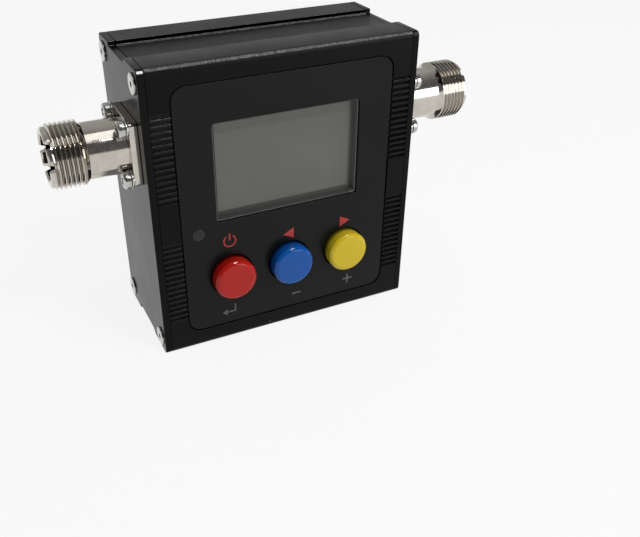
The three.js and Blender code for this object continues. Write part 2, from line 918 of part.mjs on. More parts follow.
// The inlet's metal shell is narrower towards the board's side, as its plug is.
function inletShape(inset) {
  const front = boardBack + inset;
  const back = boardBack + inletThickness - inset;
  const half = inletWidth / 2 - inset;
  return [
    point(front, inletHeight - half),
    point(back - inletCorner, inletHeight - half),
    point(back, inletHeight - half + inletCorner),
    point(back, inletHeight + half - inletCorner),
    point(back - inletCorner, inletHeight + half),
    point(front, inletHeight + half),
  ];
}

function chargingInlet() {
  const mouth = endFace - inletInset;
  const well = mouth - inletDepth;
  const height = inletWidth - 2 * inletTongueMargin;
  const tongue = rectangle(boardBack + inletThickness / 2, inletHeight, inletTongue, height);
  const shell = slabX(inletShape(0), mouth - inletLength, mouth);
  const hollow = slabX(inletShape(inletWall), well, mouth + overrun);
  return join(cut(shell, hollow), slabX(tongue, well - inletWall, mouth - inletWall));
}

// Assembly
const meter = new THREE.Group();

const caseGroup = new THREE.Group();
caseGroup.add(mesh('front_shell', frontShell(), powderCoat));
caseGroup.add(mesh('rear_shell', rearShell(), powderCoat));
caseGroup.add(mesh('left_end_plate', endPlate(-endFace, -shellEnd), plateCoat));
caseGroup.add(mesh('right_end_plate', rightEndPlate(), plateCoat));
meter.add(caseGroup);

// Each end holds its screws and its socket. The left end is the right end turned half round the
// vertical, so a place at depth y on the right end is at depth -y before the turn on the left one.
function endGroup(side, direction, notchPhase) {
  const group = new THREE.Group();
  group.position.set(direction * endFace, 0, 0);
  group.rotation.z = direction > 0 ? 0 : Math.PI;
  for (const { name, y, z } of plateScrewPlaces) {
    const screw = mesh(`${side}_plate_screw_${name}`, endPlateScrew(), steel);
    screw.position.set(0, direction * y, z);
    group.add(screw);
  }
  for (const { name, y, z } of flangeScrewPlaces) {
    const screw = mesh(`${side}_flange_screw_${name}`, flangeScrew(), steel);
    screw.position.set(0, direction * y, z);
    group.add(screw);
  }
  const socket = new THREE.Group();
  socket.position.set(0, direction * socketDepth, socketHeight);
  socket.add(mesh(`${side}_socket_shell`, socketShell(notchPhase), nickel));
  socket.add(mesh(`${side}_socket_insulator`, socketInsulator(), ptfe));
  socket.add(mesh(`${side}_centre_contact`, centreContact(), brass));
  group.add(socket);
  return group;
}
meter.add(endGroup('left', -1, leftNotchPhase));
meter.add(endGroup('right', 1, rightNotchPhase));

const frontGroup = new THREE.Group();
frontGroup.add(mesh('front_panel', frontPanel(), panelBlack));
frontGroup.add(mesh('display_polariser', polariser(), displayGrey));
frontGroup.add(mesh('display_glass', displayGlass(), glassGrey));
frontGroup.add(mesh('display_backlight', displayBacklight(), diffuser));
frontGroup.add(mesh('display_flex', displayFlex(), polyimide));
frontGroup.add(mesh('status_led', statusLed(), ledLens));
meter.add(frontGroup);

const boardGroup = new THREE.Group();
boardGroup.add(mesh('main_board', mainBoard(), boardGreen));
boardScrewPlaces.forEach((place, i) => {
  boardGroup.add(mesh(`board_screw_${i + 1}`, boardScrew(place), steel));
});
boardGroup.add(mesh('coupler_board', couplerBoard(), boardGreen));
boardGroup.add(mesh('coupler_line', couplerLine(), copper));
boardGroup.add(mesh('coupler_shield', couplerShield(), tinplate));
boardGroup.add(mesh('left_board_spacer', spacer(-spacerAcross), brass));
boardGroup.add(mesh('right_board_spacer', spacer(spacerAcross), brass));
boardGroup.add(mesh('board_header', boardHeader(), blackPlastic));
meter.add(boardGroup);

const caps = [['red', redCap], ['blue', blueCap], ['yellow', yellowCap]];
caps.forEach(([colour, material], i) => {
  const x = buttonPlaces[i];
  const group = new THREE.Group();
  group.add(mesh(`${colour}_button_cap`, buttonCap(x), material));
  group.add(mesh(`${colour}_switch_plunger`, switchPlunger(x), blackPlastic));
  group.add(mesh(`${colour}_switch_body`, switchBody(x), blackPlastic));
  group.add(mesh(`${colour}_switch_dome`, switchDome(x), steel));
  meter.add(group);
});

const powerGroup = new THREE.Group();
powerGroup.add(mesh('battery', battery(), foil));
powerGroup.add(mesh('battery_pad', batteryPad(), foam));
powerGroup.add(mesh('charging_inlet', chargingInlet(), tinplate));
meter.add(powerGroup);

// The floor area runs from the button faces to the back, so its middle is forward of the case's.
meter.position.y = -(caseDepth - buttonProud) / 2;

export default meter;
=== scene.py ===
"""Looks of a pocket SWR meter: finishes, edges, threads, screw recesses, prints, light and camera."""

import json
import math

import bmesh
import bpy
from mathutils import Matrix, Vector

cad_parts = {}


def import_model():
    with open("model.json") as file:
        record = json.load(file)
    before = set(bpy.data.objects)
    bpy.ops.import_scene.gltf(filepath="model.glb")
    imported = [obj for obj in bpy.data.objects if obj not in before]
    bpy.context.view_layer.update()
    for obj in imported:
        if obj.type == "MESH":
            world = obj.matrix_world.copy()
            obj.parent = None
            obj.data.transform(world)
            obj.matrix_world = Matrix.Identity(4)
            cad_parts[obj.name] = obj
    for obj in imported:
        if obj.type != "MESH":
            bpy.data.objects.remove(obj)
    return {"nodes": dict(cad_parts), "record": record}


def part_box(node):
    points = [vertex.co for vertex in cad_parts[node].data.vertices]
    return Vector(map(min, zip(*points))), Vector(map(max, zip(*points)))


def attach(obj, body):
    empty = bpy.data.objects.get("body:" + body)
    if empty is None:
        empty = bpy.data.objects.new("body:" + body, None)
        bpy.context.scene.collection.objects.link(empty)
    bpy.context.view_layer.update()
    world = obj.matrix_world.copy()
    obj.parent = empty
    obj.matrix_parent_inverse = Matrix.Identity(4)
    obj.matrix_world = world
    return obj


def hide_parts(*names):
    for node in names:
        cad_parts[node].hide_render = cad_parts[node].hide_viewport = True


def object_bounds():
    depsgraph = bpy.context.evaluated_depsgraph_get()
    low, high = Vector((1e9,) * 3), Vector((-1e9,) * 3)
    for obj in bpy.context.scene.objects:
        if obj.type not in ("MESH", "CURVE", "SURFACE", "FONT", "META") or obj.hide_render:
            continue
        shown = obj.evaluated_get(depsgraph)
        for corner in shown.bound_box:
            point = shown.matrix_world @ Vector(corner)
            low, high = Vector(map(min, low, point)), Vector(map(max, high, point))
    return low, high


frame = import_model()
cad_low, cad_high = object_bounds()

MM = 0.001
CASE = "case"
WELD = 0.002 * MM
FLAT_ANGLE = math.radians(0.5)
SHARP_ANGLE = math.radians(32)
FULL_TURN = 2 * math.pi
ENDS = (("left", -1), ("right", 1))
COLOURS = ("red", "blue", "yellow")


def middle_of(node):
    low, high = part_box(node)
    return (low + high) / 2


# Materials

# The channel on top ends where the rear shell rises, with the front shell's lip just before it
CHANNEL_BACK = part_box("front_shell")[0].y + 26.6 * MM
LIP_FRONT = CHANNEL_BACK - 1.1 * MM
DUST = (0.32, 0.32, 0.31)


def shader_of(material):
    return material.node_tree.nodes["Principled BSDF"]


def principled(name, colour, roughness, metallic=0.0, specular=0.5):
    material = bpy.data.materials.new(name)
    material.use_nodes = True
    shader = shader_of(material)
    shader.inputs["Base Color"].default_value = (*colour, 1)
    shader.inputs["Roughness"].default_value = roughness
    shader.inputs["Metallic"].default_value = metallic
    shader.inputs["Specular IOR Level"].default_value = specular
    return material


def add_node(owner, kind, **values):
    """A node of a material or a world. Each value is set on the node, or else on its input of that name."""
    node = owner.node_tree.nodes.new(kind)
    for key, value in values.items():
        if hasattr(node, key):
            setattr(node, key, value)
        else:
            node.inputs[key.replace("_", " ").title()].default_value = value
    return node


def object_point(material):
    return add_node(material, "ShaderNodeTexCoord").outputs["Object"]


def noise(material, grain, detail=2.0, roughness=0.5):
    """A noise whose grain is about this long, in metres."""
    node = add_node(material, "ShaderNodeTexNoise", scale=1 / grain, detail=detail, roughness=roughness)
    material.node_tree.links.new(object_point(material), node.inputs["Vector"])
    return node.outputs["Fac"]


def ranged(material, value, low, high, start=0.3, end=0.7):
    node = add_node(material, "ShaderNodeMapRange", clamp=True)
    node.inputs["From Min"].default_value = start
    node.inputs["From Max"].default_value = end
    node.inputs["To Min"].default_value = low
    node.inputs["To Max"].default_value = high
    material.node_tree.links.new(value, node.inputs["Value"])
    return node.outputs["Result"]


def blended(owner, factor, first, second):
    """From the first colour at 0 to the second at 1. Each is a colour or a node's output."""
    node = add_node(owner, "ShaderNodeMix", data_type="RGBA")
    links = owner.node_tree.links
    links.new(factor, node.inputs["Factor"])
    for socket, colour in ((node.inputs[6], first), (node.inputs[7], second)):
        if isinstance(colour, tuple):
            socket.default_value = (*colour, 1)
        else:
            links.new(colour, socket)
    return node.outputs[2]


def mottled(material, drift, darker, lighter):
    return blended(material, ranged(material, drift, 0.0, 1.0), darker, lighter)


def bumped(material, height, depth, strength=1.0):
    node = add_node(material, "ShaderNodeBump", strength=strength, distance=depth)
    links = material.node_tree.links
    links.new(height, node.inputs["Height"])
    links.new(node.outputs["Normal"], shader_of(material).inputs["Normal"])


def shaded(material, colour, roughness):
    inputs = shader_of(material).inputs
    material.node_tree.links.new(colour, inputs["Base Color"])
    material.node_tree.links.new(roughness, inputs["Roughness"])


def varied(name, colour, roughness, grain, metallic=0.0, specular=0.5, spread=0.12,
           depth=0.0, bump_grain=0.0):
    """A finish whose colour and roughness drift a little, with a fine bump if it has one."""
    material = principled(name, colour, roughness, metallic, specular)
    drift = noise(material, grain, 3.0)
    darker = tuple(c * (1 - spread) for c in colour)
    lighter = tuple(min(1.0, c * (1 + spread)) for c in colour)
    gloss = ranged(material, drift, roughness * (1 - spread), min(1.0, roughness * (1 + spread)))
    shaded(material, mottled(material, drift, darker, lighter), gloss)
    if depth:
        bumped(material, noise(material, bump_grain or grain, 3.0, 0.6), depth)
    return material


def dusty(material, colour, cell, size):
    """Sparse pale specks: one lies where the point of a cell this wide meets the surface."""
    cells = add_node(material, "ShaderNodeTexVoronoi", scale=1 / cell)
    material.node_tree.links.new(object_point(material), cells.inputs["Vector"])
    core = 0.6 * size
    speck = ranged(material, cells.outputs["Distance"], 1.0, 0.0, core, size)
    return blended(material, speck, colour, DUST)


def vector_step(material, operation, vector, constant=None):
    """One step of vector arithmetic, with a constant where it takes two vectors."""
    node = add_node(material, "ShaderNodeVectorMath", operation=operation)
    material.node_tree.links.new(vector, node.inputs[0])
    if constant:
        node.inputs[1].default_value = constant
    return node.outputs["Value" if operation in ("DOT_PRODUCT", "LENGTH") else "Vector"]


def facing(material, direction, start, end):
    """1 where the surface faces this way in the object's own space, 0 where it doesn't."""
    normal = add_node(material, "ShaderNodeTexCoord").outputs["Normal"]
    return ranged(material, vector_step(material, "DOT_PRODUCT", normal, direction), 0.0, 1.0, start, end)


def combined(material, operation, first, second):
    node = add_node(material, "ShaderNodeMath", operation=operation)
    material.node_tree.links.new(first, node.inputs[0])
    material.node_tree.links.new(second, node.inputs[1])
    return node.outputs["Value"]


def multiplied(material, first, second):
    return combined(material, "MULTIPLY", first, second)


def along(material, axis):
    """A point's place along one axis of the frame."""
    split = add_node(material, "ShaderNodeSeparateXYZ")
    material.node_tree.links.new(object_point(material), split.inputs["Vector"])
    return split.outputs[axis]


def between(material, value, low, high, blur):
    """1 from low to high, and 0 beyond the blur at each side."""
    return multiplied(material, ranged(material, value, 0.0, 1.0, low - blur, low),
                      ranged(material, value, 1.0, 0.0, high, high + blur))


def left_band(material, least):
    """1 at the left band of ribs, down to the least value at the right one."""
    left, right = -20 * MM, 25 * MM
    return ranged(material, along(material, "X"), 1.0, least, left, right)


def painted_highlights(material):
    """1 where highlights are painted on the coat: the long top edge of the front, the lip on top, and the
    ribs' edges.

    The ribs' share fades from the upper ones down and from left to right.
    """
    height = along(material, "Z")
    rib_top = 74 * MM
    rib_middle = 61 * MM
    above_ribs = rib_top + MM
    top_edge = multiplied(material, facing(material, (0, -0.62, 0.785), 0.905, 1.01),
                          ranged(material, height, 0.0, 0.62, rib_top, above_ribs))
    ribs = multiplied(material, facing(material, (0, -0.707, 0.707), 0.905, 0.985),
                      ranged(material, height, 0.12, 1.0, rib_middle, rib_top))
    ribs = multiplied(material, ribs, ranged(material, height, 1.0, 0.0, rib_top, above_ribs))
    ribs = multiplied(material, ribs, left_band(material, 0.3))
    lip = between(material, along(material, "Y"), LIP_FRONT - 0.03 * MM, LIP_FRONT + 0.12 * MM, 0.04 * MM)
    lip_edge = multiplied(material, lip, ranged(material, height, 0.0, 0.4, rib_top, above_ribs))
    return combined(material, "ADD", combined(material, "ADD", top_edge, ribs), lip_edge)


def painted_joint_shade(material):
    """1 in the narrow step where the two shells meet on top, which gets painted shade."""
    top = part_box("front_shell")[1].z
    across = between(material, along(material, "Y"),
                     CHANNEL_BACK - 0.75 * MM, CHANNEL_BACK + 0.1 * MM, 0.05 * MM)
    upright = between(material, along(material, "Z"), top - 2 * MM, top - 0.3 * MM, 0.1 * MM)
    return multiplied(material, across, upright)


def powder_coat():
    """A fine-grained coat with painted highlights on its upper edges, painted light on the slopes under the
    left ribs, and painted shade in the joint.
    """
    material = principled("powder_coat", (0.0045, 0.0048, 0.0046), 0.42, specular=0.11)
    drift = noise(material, 9 * MM, 3.0)
    tint = mottled(material, drift, (0.004, 0.0043, 0.0041), (0.0055, 0.0058, 0.0055))
    # Faces that point forwards get a darker tint: painted shade.
    front = blended(material, facing(material, (0, -1, 0), 0.75, 0.95), tint, (0.0015, 0.0016, 0.0015))
    # The down-facing slopes of the left ribs get a paler tint, fading to the right: painted light from the
    # floor below.
    lit_slopes = multiplied(material, facing(material, (0, -0.9, -0.44), 0.93, 0.99), left_band(material, 0.0))
    slopes_lit = blended(material, lit_slopes, front, (0.01, 0.0105, 0.01))
    # Painted highlights on the upper edges, broken into glints by a fine grain.
    grain = ranged(material, noise(material, 0.3 * MM, 2.0, 0.7), 0.16, 1.0, 0.47, 0.66)
    highlight_share = multiplied(material, painted_highlights(material), grain)
    edge_highlighted = blended(material, highlight_share, slopes_lit, (0.65, 0.655, 0.64))
    # The joint is painted near black, and made fully metallic there so that it reflects nothing: painted
    # shade.
    gap = painted_joint_shade(material)
    joint_shaded = blended(material, gap, dusty(material, edge_highlighted, 6 * MM, 0.035), (0.0005, 0.0005, 0.0005))
    shaded(material, joint_shaded, combined(material, "MAXIMUM", gap, ranged(material, drift, 0.3, 0.36)))
    material.node_tree.links.new(gap, shader_of(material).inputs["Metallic"])
    bumped(material, noise(material, 0.4 * MM, 3.0, 0.6), 0.035 * MM)
    return material


def plate_coat():
    """A smooth coat, with a painted highlight on the left plate's round edge where it faces forwards and up.
    """
    material = principled("plate_coat", (0.005, 0.0053, 0.005), 0.2, specular=0.07)
    drift = noise(material, 14 * MM, 3.0)
    tint = mottled(material, drift, (0.004, 0.0043, 0.004), (0.006, 0.0063, 0.006))
    # A near-white mark on the left plate's round front edge, fading to nothing on the right: a painted
    # highlight.
    corner = multiplied(material, facing(material, (0, -0.8, 0.6), 0.95, 0.99),
                        ranged(material, along(material, "X"), 1.0, 0.06, -MM, MM))
    edge_highlighted = blended(material, corner, tint, (0.95, 0.95, 0.94))
    shaded(material, dusty(material, edge_highlighted, 8 * MM, 0.02), ranged(material, drift, 0.18, 0.25))
    bumped(material, noise(material, 0.35 * MM, 2.0, 0.5), 0.006 * MM, 0.6)
    return material


def panel_gloss():
    material = principled("panel_gloss", (0.005, 0.0055, 0.0053), 0.3, specular=0.15)
    drift = noise(material, 22 * MM)
    tint = mottled(material, drift, (0.0045, 0.005, 0.0048), (0.006, 0.0065, 0.0062))
    shaded(material, dusty(material, tint, 12 * MM, 0.008), ranged(material, drift, 0.26, 0.36))
    bumped(material, noise(material, 0.5 * MM), 0.004 * MM, 0.5)
    return material


def nickel():
    """Bright plate, with painted shade in the roots of the threads."""
    material = principled("nickel", (0.54, 0.51, 0.46), 0.12, metallic=1.0)
    drift = noise(material, 4 * MM, 4.0, 0.6)
    tint = mottled(material, drift, (0.49, 0.46, 0.41), (0.59, 0.56, 0.505))
    # The roots of the threads get a darker tint: painted shade.
    roots_shaded = blended(material, thread_roots(material), tint, (0.27, 0.25, 0.22))
    shaded(material, roots_shaded, ranged(material, noise(material, 1.6 * MM, 4.0), 0.07, 0.15))
    bumped(material, noise(material, 0.8 * MM, 3.0), 0.003 * MM, 0.6)
    return material


def thread_roots(material):
    """1 in the roots of the two threads: near their axis, and between their ends along X."""
    plate = -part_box("left_end_plate")[0].x
    axis = middle_of("left_centre_contact")
    root, flank = 7.82 * MM, 8.04 * MM
    start, end, blur = 13.8 * MM, 20.7 * MM, 0.4 * MM
    from_axis = vector_step(material, "SUBTRACT", object_point(material), (0, axis.y, axis.z))
    across = vector_step(material, "MULTIPLY", from_axis, (0, 1, 1))
    near = ranged(material, vector_step(material, "LENGTH", across), 1.0, 0.0, root, flank)
    sideways = vector_step(material, "MULTIPLY", object_point(material), (1, 0, 0))
    reach = vector_step(material, "LENGTH", sideways)
    return multiplied(material, between(material, reach, plate + start, plate + end, blur), near)


def display_glass():
    """The dark border round the film, with painted light on its right strip, where the window's wall shades
    it.
    """
    material = principled("display_glass", (0.065, 0.067, 0.062), 0.25)
    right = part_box("display_polariser")[1].x
    drift = noise(material, 12 * MM, 3.0)
    dark = mottled(material, drift, (0.06, 0.062, 0.058), (0.07, 0.072, 0.067))
    # A paler strip at the right: painted light.
    side = ranged(material, along(material, "X"), 0.0, 1.0, right - 0.6 * MM, right + 0.1 * MM)
    shaded(material, blended(material, side, dark, (0.145, 0.149, 0.14)), ranged(material, drift, 0.23, 0.27))
    return material


def display_film():
    """The unlit display: a grey film with a faint dot matrix, whose pitch and gap are in millimetres."""
    material = principled("display_film", (0.122, 0.125, 0.11), 0.22, specular=0.45)
    links = material.node_tree.links
    pitch = 0.3
    gap = 0.03
    white, black = (1, 1, 1, 1), (0, 0, 0, 1)
    dots = add_node(material, "ShaderNodeTexBrick", offset=0.0, squash=1.0)
    upright = add_node(material, "ShaderNodeMapping")
    upright.inputs["Rotation"].default_value = (math.pi / 2, 0, 0)
    links.new(object_point(material), upright.inputs["Vector"])
    links.new(upright.outputs["Vector"], dots.inputs["Vector"])
    for name, value in (("Color1", white), ("Color2", white), ("Mortar", black), ("Scale", 1 / MM),
                        ("Mortar Size", gap), ("Brick Width", pitch), ("Row Height", pitch)):
        dots.inputs[name].default_value = value
    drift = noise(material, 16 * MM)
    soft = mottled(material, drift, (0.111, 0.114, 0.1), (0.133, 0.136, 0.121))
    on_dot = ranged(material, dots.outputs["Color"], 0.0, 1.0, 0.0, 1.0)
    grid = blended(material, on_dot, (0.105, 0.108, 0.095), soft)
    shaded(material, grid, ranged(material, drift, 0.2, 0.26))
    return material


def cap_plastic(name, colour):
    """Glossy plastic, with painted shade on the wall where it meets the panel."""
    material = principled(name, colour, 0.16, specular=0.1)
    shader_of(material).inputs["Coat Weight"].default_value = 0.38
    shader_of(material).inputs["Coat Roughness"].default_value = 0.02
    darker_share = 0.93
    wall_shade_share = 0.12
    drift = noise(material, 9 * MM)
    tint = mottled(material, drift, tuple(c * darker_share for c in colour), colour)
    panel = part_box("front_panel")[0].y
    # The wall near the panel gets a darker tint: painted shade.
    root = ranged(material, along(material, "Y"), 0.0, 1.0, panel - 1.7 * MM, panel - 0.3 * MM)
    wall_shaded = blended(material, root, tint, tuple(c * wall_shade_share for c in colour))
    shaded(material, wall_shaded, ranged(material, noise(material, 7 * MM), 0.13, 0.2))
    return material


def ptfe():
    material = varied("ptfe", (0.84, 0.82, 0.75), 0.42, 5 * MM, spread=0.04,
                      depth=0.004 * MM, bump_grain=0.8 * MM)
    shader_of(material).inputs["Subsurface Weight"].default_value = 0.15
    shader_of(material).inputs["Subsurface Radius"].default_value = (MM, MM, MM)
    return material


def make_materials():
    fine = 0.3 * MM
    return {
        "powder_coat": powder_coat(),
        "plate_coat": plate_coat(),
        "screw_steel": varied("screw_steel", (0.5, 0.495, 0.475), 0.17, 1.2 * MM, metallic=1.0,
                              spread=0.14, depth=0.003 * MM),
        "nickel": nickel(),
        "ptfe": ptfe(),
        "contact_metal": varied("contact_metal", (0.78, 0.56, 0.2), 0.2, 2 * MM, metallic=1.0,
                                spread=0.1, depth=0.002 * MM),
        "panel_gloss": panel_gloss(),
        "display_film": display_film(),
        "display_glass": display_glass(),
        "diffuser": varied("diffuser", (0.75, 0.75, 0.72), 0.5, 4 * MM, spread=0.03),
        "flex": varied("flex", (0.4, 0.17, 0.03), 0.35, 2 * MM),
        "led_lens": varied("led_lens", (0.016, 0.017, 0.016), 0.3, MM, specular=0.3,
                           depth=0.004 * MM, bump_grain=fine),
        "circuit_board": varied("circuit_board", (0.012, 0.1, 0.03), 0.35, 3 * MM,
                                depth=0.01 * MM, bump_grain=MM),
        "copper": varied("copper", (0.5, 0.2, 0.06), 0.28, 2 * MM, metallic=1.0),
        "tinplate": varied("tinplate", (0.6, 0.61, 0.6), 0.3, 3 * MM, metallic=1.0,
                           depth=0.004 * MM, bump_grain=MM),
        "black_plastic": varied("black_plastic", (0.012, 0.012, 0.012), 0.5, 3 * MM,
                                depth=0.006 * MM, bump_grain=fine),
        "red_cap": cap_plastic("red_cap", (0.455, 0.01, 0.005)),
        "blue_cap": cap_plastic("blue_cap", (0.002, 0.09, 0.385)),
        "yellow_cap": cap_plastic("yellow_cap", (0.69, 0.515, 0.019)),
        "battery_foil": varied("battery_foil", (0.5, 0.52, 0.54), 0.35, 6 * MM, metallic=0.9,
                               depth=0.05 * MM),
        "foam": varied("foam", (0.02, 0.02, 0.02), 0.95, MM, depth=0.15 * MM, bump_grain=fine),
    }


materials = make_materials()
red_ink = varied("red_ink", (0.4, 0.035, 0.035), 0.4, 2 * MM, spread=0.1, specular=0.3)
grey_ink = varied("grey_ink", (0.105, 0.108, 0.11), 0.45, 2 * MM, spread=0.1, specular=0.3)


def dress_nodes():
    for entry in frame["record"]["subparts"]:
        node = frame["nodes"][entry["node"]]
        node.data.materials.clear()
        node.data.materials.append(materials[entry["material_slot"]])


dress_nodes()


# Meshes

def linked(name, mesh):
    piece = bpy.data.objects.new(name, mesh)
    bpy.context.scene.collection.objects.link(piece)
    return piece


def worked(name, work):
    """A new object whose mesh is made by a function that fills a bmesh."""
    form = bmesh.new()
    work(form)
    bmesh.ops.recalc_face_normals(form, faces=form.faces)
    mark_sharp(form)
    mesh = bpy.data.meshes.new(name)
    form.to_mesh(mesh)
    form.free()
    return linked(name, mesh)


def mark_sharp(form):
    for face in form.faces:
        face.smooth = True
    for edge in form.edges:
        edge.smooth = len(edge.link_faces) == 2 and edge.calc_face_angle(0.0) < SHARP_ANGLE


def shown(piece, material_slot, *nodes, body=CASE, material=None):
    """Puts a piece on its body, with its finish, in place of the nodes that it stands for."""
    piece.data.materials.clear()
    piece.data.materials.append(material or materials[material_slot])
    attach(piece, body)
    if nodes:
        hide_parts(*nodes)


def soften(piece, width, segments=2):
    edge = piece.modifiers.new("edges", "BEVEL")
    edge.width = width
    edge.segments = segments
    edge.limit_method = "ANGLE"
    edge.angle_limit = SHARP_ANGLE
    edge.use_clamp_overlap = False
    edge.harden_normals = False
    normals = piece.modifiers.new("normals", "WEIGHTED_NORMAL")
    normals.keep_sharp = False
    return piece


def edged(node, material_slot, width, segments=2):
    """A copy of a node's shape with small rounded edges, in its place."""
    mesh = frame["nodes"][node].data.copy()
    form = bmesh.new()
    form.from_mesh(mesh)
    bmesh.ops.remove_doubles(form, verts=form.verts, dist=WELD)
    bmesh.ops.dissolve_limit(form, angle_limit=FLAT_ANGLE, verts=form.verts, edges=form.edges)
    for face in form.faces:
        face.smooth = True
    for edge in form.edges:
        edge.smooth = True
    form.to_mesh(mesh)
    form.free()
    piece = linked(f"{node}_finish", mesh)
    soften(piece, width, segments)
    shown(piece, material_slot, node)


def even_angles(steps):
    return [FULL_TURN * i / steps for i in range(steps)]


def turned(place, radius, angle, distance):
    """A point about the place's Z axis, at a distance along it."""
    return place @ Vector((radius * math.cos(angle), radius * math.sin(angle), distance))


def join_rings(form, first, second):
    """The faces between two closed rings of as many vertices."""
    for i in range(len(first)):
        j = (i + 1) % len(first)
        form.faces.new((first[i], first[j], second[j], second[i]))


def revolve(name, profile, place, angles, distance_at=None):
    """Turns (radius, distance) points about the place's Z axis.

    A function may change a point's distance, by the number of its angle.
    """
    def work(form):
        rings = []
        for radius, distance in profile:
            ring = []
            for i, angle in enumerate(angles):
                far = distance_at(i, distance) if distance_at else distance
                ring.append(form.verts.new(turned(place, radius, angle, far)))
            rings.append(ring)
        for first, second in zip(rings, rings[1:]):
            join_rings(form, first, second)
        bmesh.ops.remove_doubles(form, verts=form.verts, dist=WELD)
    return worked(name, work)


def fillet(x, y, radius, start, end, steps=6):
    """Points of an arc about (x, y), from one angle to another in degrees."""
    points = []
    for i in range(steps + 1):
        angle = math.radians(start + (end - start) * i / steps)
        points.append((x + radius * math.cos(angle), y + radius * math.sin(angle)))
    return points


def rounded(half_width, half_height, corner):
    """Points of a rectangle with round corners, about the middle."""
    x, y = half_width - corner, half_height - corner
    return [*fillet(x, -y, corner, -90, 0), *fillet(x, y, corner, 0, 90),
            *fillet(-x, y, corner, 90, 180), *fillet(-x, -y, corner, 180, 270)]


def outward(foot, direction):
    """A place whose Z axis points along X, out of an end plate, with its X along +Y and its Y along +Z."""
    turn = Matrix(((0, 0, direction), (1, 0, 0), (0, 1, 0))).to_4x4()
    return Matrix.Translation(foot) @ turn


def forward(foot):
    """A place whose Z axis points forwards, along -Y, with its X along +X and its Y along +Z."""
    turn = Matrix(((1, 0, 0), (0, 0, -1), (0, 1, 0))).to_4x4()
    return Matrix.Translation(foot) @ turn


def foot_of(node, direction):
    """Middle of the end of a node's box that is nearer the case, along X."""
    low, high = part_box(node)
    middle = middle_of(node)
    return Vector((low.x if direction > 0 else high.x, middle.y, middle.z))


# Case

edged("front_shell", "powder_coat", 0.085 * MM)
edged("rear_shell", "powder_coat", 0.22 * MM)
for end, _ in ENDS:
    edged(f"{end}_end_plate", "plate_coat", 0.07 * MM)


# Sockets

THREAD_PITCH = 1.16 * MM
THREAD_START = 13.5 * MM
THREAD_END = 21.3 * MM
THREAD_RISE = 0.45 * MM
THREAD_RUN_OUT = 0.4 * MM
FIRST_CREST = 14.6 * MM
CREST_RADIUS = 8.5 * MM
ROOT_RADIUS = 7.8 * MM
LEAD_RADIUS = 7.85 * MM
BARREL_RADIUS = 7.4 * MM
BARREL_END = 12.6 * MM
SOCKET_LENGTH = 22.3 * MM
SOCKET_BORE = 6.1 * MM
SOCKET_WELL = 8.0 * MM
RIM_CHAMFER = 0.5 * MM
RIM_BEVEL = 0.45 * MM
RIM_ROUNDING = 0.15 * MM
FLANGE_SIDE = 17.5 * MM
FLANGE_THICKNESS = 2.3 * MM
FLANGE_CORNER = 1.2 * MM
SOCKET_ROOT = FLANGE_THICKNESS - 0.2 * MM
NOTCH_DEPTH = 1.5 * MM
NOTCH_MOUTH = 2.2 * MM
NOTCH_FLOOR = 1.5 * MM
NOTCH_ANGLES = {"left": (0, 135), "right": (129, 174)}
SOCKET_STEPS = 120
THREAD_ROWS = ((-0.1, CREST_RADIUS), (0.1, CREST_RADIUS), (0.43, ROOT_RADIUS), (0.57, ROOT_RADIUS))


def thread_point(turn, base, radius):
    """A point of the thread: its row climbs by one pitch a turn, and stays between the thread's ends."""
    far = min(THREAD_END, max(THREAD_START, base + turn * THREAD_PITCH))
    rise_in = min(1.0, (far - THREAD_START) / THREAD_RISE)
    run_out = min(1.0, (THREAD_END - far) / THREAD_RUN_OUT)
    wide = CREST_RADIUS - (CREST_RADIUS - radius) * rise_in
    return LEAD_RADIUS + (wide - LEAD_RADIUS) * run_out, far


def threaded(name, before, after, place, hand):
    """A turned body with a helical thread between its plain lengths, closed along its bore.

    The hand is -1 on a mirrored place, so that both sockets have a right-handed thread.
    """
    spare_turns = 3

    def work(form):
        rows = [[(radius, far)] * (SOCKET_STEPS + 1) for radius, far in before]
        turns = [hand * (i / SOCKET_STEPS - 0.25) for i in range(SOCKET_STEPS + 1)]
        for whole in range(-spare_turns, round((THREAD_END - THREAD_START) / THREAD_PITCH) + spare_turns):
            for part, radius in THREAD_ROWS:
                base = FIRST_CREST + (whole + part) * THREAD_PITCH
                rows.append([thread_point(turn, base, radius) for turn in turns])
        rows += [[(radius, far)] * (SOCKET_STEPS + 1) for radius, far in after]
        rings = []
        for row in rows:
            ring = []
            for i, (radius, far) in enumerate(row):
                angle = FULL_TURN * i / SOCKET_STEPS
                ring.append(form.verts.new(turned(place, radius, angle, far)))
            rings.append(ring)
        for first, second in zip(rings, rings[1:] + rings[:1]):
            for i in range(SOCKET_STEPS):
                form.faces.new((first[i], first[i + 1], second[i + 1], second[i]))
        bmesh.ops.remove_doubles(form, verts=form.verts, dist=WELD)
    return worked(name, work)


